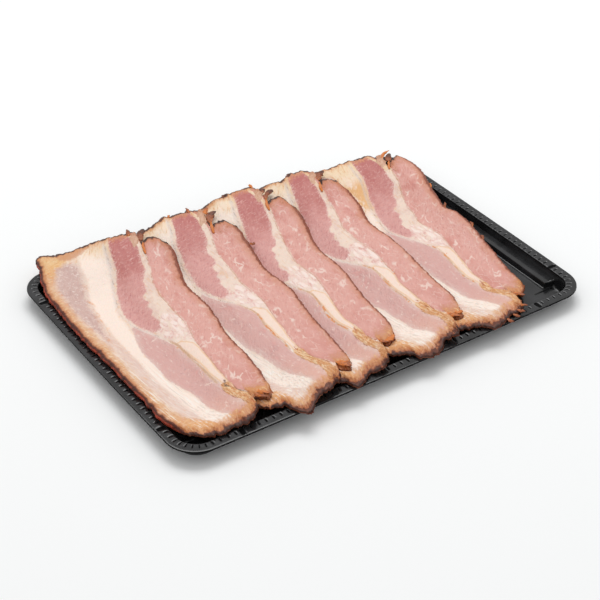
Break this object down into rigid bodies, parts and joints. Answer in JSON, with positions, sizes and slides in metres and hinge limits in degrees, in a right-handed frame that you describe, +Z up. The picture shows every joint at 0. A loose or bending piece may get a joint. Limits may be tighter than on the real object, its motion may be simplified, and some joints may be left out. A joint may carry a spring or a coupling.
{
  "type": "bacon pack",
  "caption": "Shingled slices of smoked streaky bacon lying in a shallow black tray with a flat flange, stepped side walls and corner feet.",
  "frame": {"origin": "centre of the pack's own box, on the table plane under the tray's corner feet", "axes": "+X along the tray's long side, towards the side with the bare corner; +Y towards the far ends of the slices; +Z up"},
  "size_m": [0.2408, 0.1804, 0.0148],
  "materials": {
    "tray_plastic": "black thermoformed sheet, glossy, slightly rippled",
    "bacon": "moist cured pork: pink lean, cream fat, browned rind and ends"
  },
  "bodies": {
    "root": {"tray": "tray_plastic", "slice_1": "bacon", "slice_2": "bacon", "slice_3": "bacon", "slice_4": "bacon", "slice_5": "bacon"}
  },
  "joints": []
}
